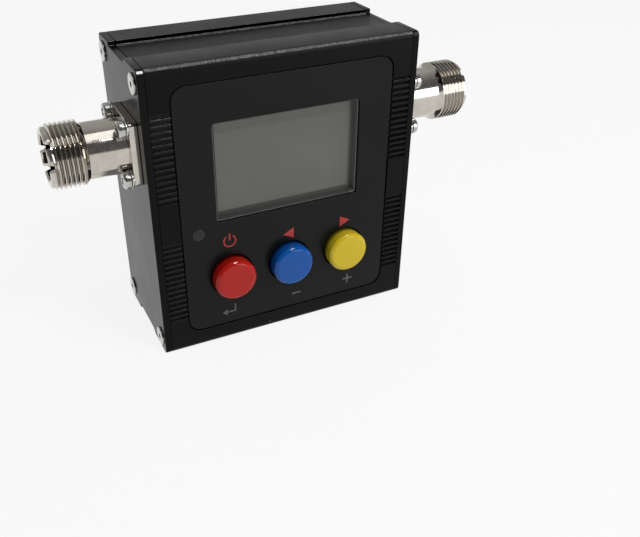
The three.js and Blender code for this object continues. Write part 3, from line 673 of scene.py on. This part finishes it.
def socket_shell(end, direction, place):
    """The barrel with its cone up to the thread, and the notched rim with its chamfer and bevel."""
    top = SOCKET_LENGTH
    flare_length, flare_rise = 0.15 * MM, 0.1 * MM
    cone_end = THREAD_START - 0.1 * MM
    cone_radius = CREST_RADIUS - 0.12 * MM
    behind_insulator = 0.5 * MM
    before = [
        (SOCKET_BORE, SOCKET_ROOT),
        (BARREL_RADIUS, SOCKET_ROOT),
        (BARREL_RADIUS, BARREL_END - flare_length),
        (BARREL_RADIUS + flare_rise, BARREL_END),
        (cone_radius, cone_end),
    ]
    after = [
        *fillet(LEAD_RADIUS - RIM_ROUNDING, top - RIM_CHAMFER, RIM_ROUNDING, 0, 40, 3),
        *fillet(LEAD_RADIUS - RIM_CHAMFER, top - RIM_ROUNDING, RIM_ROUNDING, 45, 90, 3),
        *fillet(SOCKET_BORE + RIM_BEVEL, top - RIM_ROUNDING, RIM_ROUNDING, 90, 135, 3),
        (SOCKET_BORE, top - RIM_BEVEL),
        (SOCKET_BORE, top - SOCKET_WELL - behind_insulator),
    ]
    shell = threaded(f"{end}_socket_barrel", before, after, place, direction)
    reach = CREST_RADIUS + MM
    cutters = []
    for angle in NOTCH_ANGLES[end]:
        across = place @ Matrix.Rotation(math.radians(angle), 4, "Z")
        cutters.append(wedge("notch_cutter", reach, reach, NOTCH_FLOOR / 2, NOTCH_MOUTH / 2,
                             top - NOTCH_DEPTH, top, across))
    return carved(shell, *cutters)


def wedge(name, reach, mouth_reach, half, mouth_half, depth, mouth, place):
    """A bar across the axis whose sides spread from its floor to its mouth, and on a little beyond."""
    beyond = 0.3

    def work(form):
        ends = []
        for share in (0, 1 + beyond):
            x = reach + (mouth_reach - reach) * share
            y = half + (mouth_half - half) * share
            z = depth + (mouth - depth) * share
            corners = ((-x, -y), (x, -y), (x, y), (-x, y))
            ends.append([form.verts.new(place @ Vector((a, b, z))) for a, b in corners])
        low, high = ends
        form.faces.new(low[::-1])
        form.faces.new(high)
        join_rings(form, low, high)
    return worked(name, work)


def carved(piece, *cutters):
    """Cuts other objects out of a piece for good, and removes them."""
    for cutter in cutters:
        cut = piece.modifiers.new("cut", "BOOLEAN")
        cut.operation = "DIFFERENCE"
        cut.solver = "EXACT"
        cut.object = cutter
    bpy.context.view_layer.update()
    graph = bpy.context.evaluated_depsgraph_get()
    mesh = bpy.data.meshes.new_from_object(piece.evaluated_get(graph))
    piece.modifiers.clear()
    old = piece.data
    piece.data = mesh
    bpy.data.meshes.remove(old)
    for cutter in cutters:
        bpy.data.objects.remove(cutter)
    form = bmesh.new()
    form.from_mesh(piece.data)
    mark_sharp(form)
    form.to_mesh(piece.data)
    form.free()
    return piece


def socket(end, direction):
    node = f"{end}_socket_shell"
    place = outward(foot_of(node, direction), direction)
    shown(socket_shell(end, direction, place), "nickel", node)
    flange = plate_of(f"{end}_socket_flange", FLANGE_SIDE, FLANGE_CORNER, 0, FLANGE_THICKNESS, place)
    soften(flange, 0.2 * MM, 3)
    shown(flange, "nickel", node)


def plate_of(name, side, corner, start, end, place):
    """A square plate with round corners, between two distances along the place's Z axis."""
    return prism(name, rounded(side / 2, side / 2, corner), start, end, place)


def prism(name, outline, start, end, place):
    def work(form):
        near = [form.verts.new(place @ Vector((x, y, start))) for x, y in outline]
        far = [form.verts.new(place @ Vector((x, y, end))) for x, y in outline]
        form.faces.new(near[::-1])
        form.faces.new(far)
        join_rings(form, near, far)
    return worked(name, work)


def insulator(end, direction):
    """The insulator's face in the socket's well, with a shallow ring round the contact."""
    node = f"{end}_socket_insulator"
    low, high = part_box(node)
    depth = (high - low).x
    place = outward(foot_of(node, direction), direction)
    outer = (high - low).z / 2
    hole = 2.95 * MM
    ring = 4.4 * MM
    groove = 0.5 * MM
    rounding = 0.3 * MM
    profile = [
        (hole, 0),
        (outer, 0),
        *fillet(outer - rounding, depth - rounding, rounding, 0, 90, 4),
        (ring + groove, depth),
        (ring + groove, depth - groove),
        (ring, depth - groove),
        (ring, depth),
        *fillet(hole + rounding, depth - rounding, rounding, 90, 180, 4),
        (hole, 0),
    ]
    shown(revolve(f"{end}_insulator_ring", profile, place, even_angles(96)), "ptfe", node)


def contact(end, direction):
    """The centre contact: a sleeve split in four so that it grips a plug's pin."""
    node = f"{end}_centre_contact"
    low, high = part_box(node)
    length = (high - low).x
    outer = (high - low).z / 2
    bore = 2.0 * MM
    bore_floor = length - 9.5 * MM
    foot = length - 11 * MM
    rounding = 0.28 * MM
    slots = 4
    first_slot = math.radians(45)
    slot_half_width = 0.3 * MM
    slot_half = math.asin(slot_half_width / outer)
    slot_floor = length - 4.5 * MM
    finger = FULL_TURN / slots - 2 * slot_half
    finger_steps = 12
    angles = []
    inside = []
    for i in range(slots):
        middle = first_slot + i * FULL_TURN / slots
        angles += [middle - slot_half, middle + slot_half]
        inside += [True, True]
        for step in range(finger_steps + 1):
            angles.append(middle + slot_half + finger * step / finger_steps)
            inside.append(False)
    profile = [
        (0, bore_floor),
        (bore, bore_floor),
        (bore, slot_floor),
        (bore, length - rounding),
        *fillet(bore + rounding, length - rounding, rounding, 180, 90, 4),
        *fillet(outer - rounding, length - rounding, rounding, 90, 0, 4),
        (outer, slot_floor),
        (outer, foot),
        (0, foot),
    ]

    def distance_at(i, distance):
        return min(distance, slot_floor) if inside[i] else distance

    place = outward(foot_of(node, direction), direction)
    sleeve = revolve(f"{end}_contact_sleeve", profile, place, angles, distance_at)
    shown(sleeve, "contact_metal", node)


for end, direction in ENDS:
    socket(end, direction)
    insulator(end, direction)
    contact(end, direction)


# Screws

SCREW_STEPS = 48


def pan_head():
    """A pan head with a cross recess, standing on the local XY plane."""
    radius = 2.3 * MM
    height = 1.9 * MM
    crown = 0.75 * MM
    bevel = 0.15 * MM
    dome = 0.05 * MM
    recess_floor = height - 1.1 * MM
    floor_reach, mouth_reach = 0.8 * MM, 1.35 * MM
    floor_half, mouth_half = 0.2 * MM, 0.33 * MM
    profile = [
        (0, 0),
        (radius - bevel, 0),
        (radius, bevel),
        *fillet(radius - crown, height - crown, crown, 0, 78, 7),
        (0.9 * MM, height + 0.8 * dome),
        (0, height + dome),
    ]
    head = revolve("pan_head", profile, Matrix.Identity(4), even_angles(SCREW_STEPS))
    cutters = []
    for turn in (0, 90):
        place = Matrix.Rotation(math.radians(turn), 4, "Z")
        cutters.append(wedge("recess_cutter", floor_reach, mouth_reach, floor_half, mouth_half,
                             recess_floor, height, place))
    return carved(head, *cutters)


def low_head():
    """A flat round head with a hexagonal recess, standing on the local XY plane."""
    radius = 2.75 * MM
    height = 0.5 * MM
    crown = 0.16 * MM
    bevel = 0.1 * MM
    recess = 0.85 * MM
    recess_floor = 0.12 * MM
    above = 1.4 * MM
    flat = 1.2 * MM
    profile = [
        (0, 0),
        (radius - bevel, 0),
        (radius, bevel),
        *fillet(radius - crown, height - crown, crown, 0, 88, 5),
        (flat, height),
        (0, height),
    ]
    head = revolve("low_head", profile, Matrix.Identity(4), even_angles(SCREW_STEPS))
    hexagon = [(recess * math.cos(a), recess * math.sin(a)) for a in even_angles(6)]
    return carved(head, prism("recess_cutter", hexagon, recess_floor, above, Matrix.Identity(4)))


def spring_washer():
    """A split ring whose ends stand a little apart along the axis."""
    inner = 1.35 * MM
    outer = 2.3 * MM
    thickness = 0.58 * MM
    rise = 0.12 * MM
    split = math.radians(9)
    steps = 60

    def work(form):
        loops = []
        for i in range(steps + 1):
            share = i / steps
            angle = split / 2 + (FULL_TURN - split) * share
            low = rise * share
            corners = ((inner, low), (outer, low), (outer, low + thickness), (inner, low + thickness))
            loops.append([form.verts.new((r * math.cos(angle), r * math.sin(angle), z)) for r, z in corners])
        form.faces.new(loops[0])
        form.faces.new(loops[-1][::-1])
        for first, second in zip(loops, loops[1:]):
            for j in range(4):
                k = (j + 1) % 4
                form.faces.new((first[j], second[j], second[k], first[k]))
    washer = worked("spring_washer", work)
    return soften(washer, 0.06 * MM)


def placed_copy(model, name, place, turn):
    """A separate piece with the model's mesh, turned about its own axis and moved to its place."""
    mesh = model.data.copy()
    mesh.transform(place @ Matrix.Rotation(math.radians(turn), 4, "Z"))
    if place.is_negative:
        mesh.flip_normals()
    copy = linked(name, mesh)
    for modifier in model.modifiers:
        if modifier.type == "BEVEL":
            soften(copy, modifier.width, modifier.segments)
    return copy


def screws():
    """The heads, each turned its own given way: a pan head on a washer, then a low head, in each corner."""
    pan, low, washer = pan_head(), low_head(), spring_washer()
    washer_height = 0.76 * MM
    turns = iter((12, 57, 33, 80, 25, 68, 41, 5, 18, 50, 72, 38, 62, 9, 29, 84))
    for end, direction in ENDS:
        for row in ("front", "rear"):
            for level in ("upper", "lower"):
                node = f"{end}_flange_screw_{row}_{level}"
                middle = middle_of(node)
                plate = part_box(f"{end}_end_plate")[1 if direction > 0 else 0].x
                face = Vector((plate + direction * FLANGE_THICKNESS, middle.y, middle.z))
                head_foot = face + Vector((direction * washer_height, 0, 0))
                turn = next(turns)
                head = placed_copy(pan, f"{node}_head", outward(head_foot, direction), turn)
                ring = placed_copy(washer, f"{node}_washer", outward(face, direction), 2 * turn)
                shown(head, "screw_steel", node)
                shown(ring, "screw_steel", node)
                node = f"{end}_plate_screw_{row}_{level}"
                middle = middle_of(node)
                place = outward(Vector((plate, middle.y, middle.z)), direction)
                shown(placed_copy(low, f"{node}_head", place, next(turns)), "screw_steel", node)
    for model in (pan, low, washer):
        bpy.data.objects.remove(model)


screws()


# Front panel and display

def panel_pieces():
    edged("front_panel", "panel_gloss", 0.16 * MM, 3)
    edged("display_glass", "display_glass", 0.05 * MM)
    edged("display_polariser", "display_film", 0.03 * MM)
    display_frame()


def display_frame():
    """The frame round the display, which lines the window from the glass to a little behind the face."""
    low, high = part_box("display_glass")
    border = 2.1 * MM
    gap = 0.04 * MM
    wall = 0.35 * MM
    corner = 0.8 * MM
    below_face = 0.7 * MM
    half_width = (high - low).x / 2 - border - gap
    half_height = (high - low).z / 2 - border - gap
    start = 0.01 * MM
    end = low.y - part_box("front_panel")[0].y - below_face
    outer = rounded(half_width, half_height, corner)
    inner = rounded(half_width - wall, half_height - wall, corner - wall)
    middle = middle_of("display_glass")
    place = forward(Vector((middle.x, low.y, middle.z)))

    def work(form):
        rows = []
        for outline, distance in ((outer, start), (outer, end), (inner, end), (inner, start)):
            rows.append([form.verts.new(place @ Vector((x, y, distance))) for x, y in outline])
        for first, second in zip(rows, rows[1:] + rows[:1]):
            join_rings(form, first, second)
    shown(soften(worked("display_frame", work), 0.08 * MM), "display_glass")


panel_pieces()

PANEL_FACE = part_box("front_panel")[0].y
PRINT_RISE = 0.012 * MM
BUTTON_X = {colour: middle_of(f"{colour}_button_cap").x for colour in COLOURS}
BUTTON_Z = middle_of("red_button_cap").z


def printed(name, outline, ink):
    """A flat print on the panel, from (x, z) points that run anticlockwise seen from the front."""
    place = forward(Vector((0, PANEL_FACE, 0)))
    shown(prism(name, outline, 0, PRINT_RISE, place), "panel_gloss", material=ink)


def arrow_prints():
    """A triangle above the blue button that points left, and one above the yellow that points right."""
    half = 1.7 * MM
    depth = 3.3 * MM
    left_x = BUTTON_X["blue"] - 0.1 * MM
    right_x = BUTTON_X["yellow"] + 0.35 * MM
    z = BUTTON_Z + 9 * MM
    printed("left_arrow_print", [(left_x - depth / 2, z), (left_x + depth / 2, z - half),
                                 (left_x + depth / 2, z + half)], red_ink)
    printed("right_arrow_print", [(right_x - depth / 2, z + half), (right_x - depth / 2, z - half),
                                  (right_x + depth / 2, z)], red_ink)


def bar(x, z, width, height):
    return [(x - width / 2, z - height / 2), (x + width / 2, z - height / 2),
            (x + width / 2, z + height / 2), (x - width / 2, z + height / 2)]


def cross(x, z, size, width):
    s, w = size / 2, width / 2
    points = []
    for a, b in ((1, 0), (0, 1), (-1, 0), (0, -1)):
        points += [(a * s + b * w, b * s - a * w), (a * s - b * w, b * s + a * w), ((a - b) * w, (a + b) * w)]
    return [(x + a, z + b) for a, b in points]


def sign_prints():
    """A minus below the blue button, and a plus below the yellow one."""
    minus_x = BUTTON_X["blue"] + 2.4 * MM
    minus_z = BUTTON_Z - 12.1 * MM
    plus_x = BUTTON_X["yellow"] + 1.9 * MM
    plus_z = BUTTON_Z - 11.7 * MM
    minus, plus, line = 2.9 * MM, 3.3 * MM, 0.5 * MM
    printed("minus_print", bar(minus_x, minus_z, minus, line), grey_ink)
    printed("plus_print", cross(plus_x, plus_z, plus, line), grey_ink)


def band(points, width):
    """An outline of a line of even width along the points."""
    left, right = [], []
    for i, (x, y) in enumerate(points):
        before = points[max(0, i - 1)]
        after = points[min(len(points) - 1, i + 1)]
        dx, dy = after[0] - before[0], after[1] - before[1]
        length = math.hypot(dx, dy)
        nx, ny = -dy / length * width / 2, dx / length * width / 2
        left.append((x + nx, y + ny))
        right.append((x - nx, y - ny))
    return right + left[::-1]


def power_prints():
    """The common sign for a power key: a ring open at the top, and a bar in the gap."""
    x = BUTTON_X["red"] - 0.2 * MM
    z = BUTTON_Z + 11.1 * MM
    radius = 1.75 * MM
    line = 0.42 * MM
    open_half = 35
    rise = radius * 0.72
    length = radius * 1.25
    ring = fillet(x, z, radius, 90 + open_half, 450 - open_half, 28)
    printed("power_ring_print", band(ring, line), red_ink)
    printed("power_bar_print", bar(x, z + rise, line, length), red_ink)


def enter_print():
    """The common sign for an enter key: an arrow that turns back to the left."""
    x = BUTTON_X["red"] - 1.4 * MM
    z = BUTTON_Z - 12.6 * MM
    w, h, line = 4.2 * MM, 2.6 * MM, 0.42 * MM
    tip, barb = 1.5 * MM, 1.05 * MM
    outline = [
        (x - w / 2, z),
        (x - w / 2 + tip, z - barb),
        (x - w / 2 + tip, z - line / 2),
        (x + w / 2, z - line / 2),
        (x + w / 2, z + h - line / 2),
        (x + w / 2 - line, z + h - line / 2),
        (x + w / 2 - line, z + line / 2),
        (x - w / 2 + tip, z + line / 2),
        (x - w / 2 + tip, z + barb),
    ]
    printed("enter_print", outline, grey_ink)


arrow_prints()
sign_prints()
power_prints()
enter_print()


# Buttons and status light

def cap_edge(radius, face):
    """A round edge with a slightly flatter band in its middle, from the side of a cap to its face.

    Each bend is a radius with its first and last angles in degrees.
    """
    bends = ((0.7 * MM, 0, 44), (8 * MM, 44, 48), (0.9 * MM, 48, 83))
    points = [(radius, 0.0)]
    for bend, start, end in bends:
        arc = fillet(0, 0, bend, start, end, 5)
        x, y = points[-1]
        points += [(x + a - arc[0][0], y + b - arc[0][1]) for a, b in arc[1:]]
    rise = face - points[-1][1]
    return [(x, y + rise) for x, y in points]


def button_cap(colour):
    """A cap with a softly crowned face and a round edge, over the moving node."""
    node = f"{colour}_button_cap"
    low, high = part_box(node)
    radius = (high.x - low.x) / 2
    length = high.y - low.y
    place = forward(Vector((BUTTON_X[colour], high.y, BUTTON_Z)))
    crown = 0.12 * MM
    bevel = 0.15 * MM
    wall = 1.2 * MM
    roof = 1.3 * MM
    inner = radius - wall
    ceiling = length - roof
    face = length - crown
    crown_radius = radius * 0.86
    inward = (0.12, 0.35, 0.6, 0.85)
    crowned = [(crown_radius * (1 - s), face + crown * (1 - (1 - s) ** 2)) for s in inward]
    profile = [
        (0, ceiling),
        (inner, ceiling),
        (inner, bevel),
        (inner + bevel, 0),
        (radius - bevel, 0),
        (radius, bevel),
        *cap_edge(radius, face),
        *crowned,
        (0, length),
    ]
    cap = revolve(f"{colour}_cap_moulding", profile, place, even_angles(96))
    shown(cap, f"{colour}_cap", node, body=f"{colour}_button")


def status_light():
    """The lens: a collar towards its foot, and a tip with a round edge."""
    node = "status_led"
    low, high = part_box(node)
    middle = middle_of(node)
    place = forward(Vector((middle.x, high.y, middle.z)))
    length = high.y - low.y
    radius = 1.82 * MM
    rounding = 0.15 * MM
    collar = 2.1 * MM
    collar_start, collar_end = 1.0 * MM, 1.9 * MM
    profile = [
        (0, collar_start),
        (collar, collar_start),
        (collar, collar_end),
        (radius, collar_end),
        *fillet(radius - rounding, length - rounding, rounding, 0, 90, 4),
        (0, length),
    ]
    shown(revolve("status_light_lens", profile, place, even_angles(64)), "led_lens", node)


for colour in COLOURS:
    button_cap(colour)
status_light()


# Light, floor and camera

# The camera's values were solved from the edges of the case in the photograph: lens and sensor in
# millimetres, angles in degrees. The lamps and the floor are in metres.
CAMERA_PLACE = Vector((-82.36, -193.71, 142.49)) * MM
CAMERA_TURN = 25.49
CAMERA_FALL = 32.03
LENS = 44.04
SENSOR_WIDTH = 36
SHIFT = (0.0375, -0.0057)
NEAREST_SEEN = 5 * MM
LAMP_AIM = Vector((0, 0, 0.04))
ROOM_FRONT = (0.12, 0.12, 0.125)
ROOM_BACK = (0.48, 0.48, 0.47)
HORIZON = (1, 1, 1)
BACKDROP = (0.945, 0.945, 0.94)
FLOOR_COLOUR = (0.92, 0.92, 0.91)
FLOOR_REACH = 3.0
FLOOR_WHITE = 0.87


def camera():
    data = bpy.data.cameras.new("camera")
    data.lens = LENS
    data.sensor_width = SENSOR_WIDTH
    data.shift_x, data.shift_y = SHIFT
    data.clip_start = NEAREST_SEEN
    made = bpy.data.objects.new("camera", data)
    made.location = CAMERA_PLACE
    made.rotation_euler = (math.radians(90 - CAMERA_FALL), 0, -math.radians(CAMERA_TURN))
    bpy.context.scene.collection.objects.link(made)
    bpy.context.scene.camera = made


def lamp(name, place, size, energy):
    """A rectangular lamp that points at the meter."""
    data = bpy.data.lights.new(name, "AREA")
    data.shape = "RECTANGLE"
    data.size, data.size_y = size
    data.energy = energy
    made = bpy.data.objects.new(name, data)
    made.location = Vector(place)
    made.rotation_euler = (LAMP_AIM - made.location).to_track_quat("-Z", "Y").to_euler()
    bpy.context.scene.collection.objects.link(made)


def world():
    """Pale round the horizon and behind the object, darker above the camera's side of the room.

    The camera itself sees one pale backdrop.
    """
    made = bpy.data.worlds.new("studio")
    bpy.context.scene.world = made
    made.use_nodes = True
    links = made.node_tree.links
    around = add_node(made, "ShaderNodeTexCoord")
    split = add_node(made, "ShaderNodeSeparateXYZ")
    links.new(around.outputs["Generated"], split.inputs["Vector"])
    upper = blended(made, smooth_step(made, split.outputs["Y"], -0.5, 0.6), ROOM_FRONT, ROOM_BACK)
    whole = blended(made, smooth_step(made, split.outputs["Z"], 0.02, 0.14), HORIZON, upper)
    path = add_node(made, "ShaderNodeLightPath")
    seen = blended(made, path.outputs["Is Camera Ray"], whole, BACKDROP)
    background = made.node_tree.nodes["Background"]
    background.inputs["Strength"].default_value = 1.0
    links.new(seen, background.inputs["Color"])


def smooth_step(owner, value, start, end):
    """0 up to the start and 1 from the end on, with a smooth step between."""
    node = add_node(owner, "ShaderNodeMapRange", interpolation_type="SMOOTHSTEP")
    node.inputs["From Min"].default_value = start
    node.inputs["From Max"].default_value = end
    owner.node_tree.links.new(value, node.inputs["Value"])
    return node.outputs["Result"]


def floor():
    """A pale floor that the camera and mirrors see nearly white, with the object's shadow kept."""
    def work(form):
        corners = ((-1, -1), (1, -1), (1, 1), (-1, 1))
        form.faces.new([form.verts.new((x * FLOOR_REACH, y * FLOOR_REACH, cad_low.z)) for x, y in corners])
    made = worked("floor", work)
    material = varied("pale_floor", FLOOR_COLOUR, 0.9, 0.25, spread=0.02, specular=0.1)
    links = material.node_tree.links
    rays = add_node(material, "ShaderNodeLightPath").outputs
    direct = combined(material, "MAXIMUM", rays["Is Camera Ray"], rays["Is Glossy Ray"])
    seen = combined(material, "MAXIMUM", direct, rays["Is Transmission Ray"])
    share = add_node(material, "ShaderNodeMath", operation="MULTIPLY")
    share.inputs[1].default_value = FLOOR_WHITE
    links.new(seen, share.inputs[0])
    white = add_node(material, "ShaderNodeEmission")
    mix = add_node(material, "ShaderNodeMixShader")
    links.new(share.outputs["Value"], mix.inputs["Fac"])
    links.new(shader_of(material).outputs["BSDF"], mix.inputs[1])
    links.new(white.outputs["Emission"], mix.inputs[2])
    links.new(mix.outputs["Shader"], material.node_tree.nodes["Material Output"].inputs["Surface"])
    made.data.materials.append(material)


camera()
world()
floor()
lamp("overhead", (0.09, -0.16, 0.63), (0.44, 0.28), 0.6)
lamp("front_high", (0.17, -0.38, 0.59), (0.17, 0.05), 1.1)
lamp("front_soft", (0.48, -0.75, 0.27), (0.46, 0.46), 2.7)

bpy.context.scene.view_settings.view_transform = "Standard"
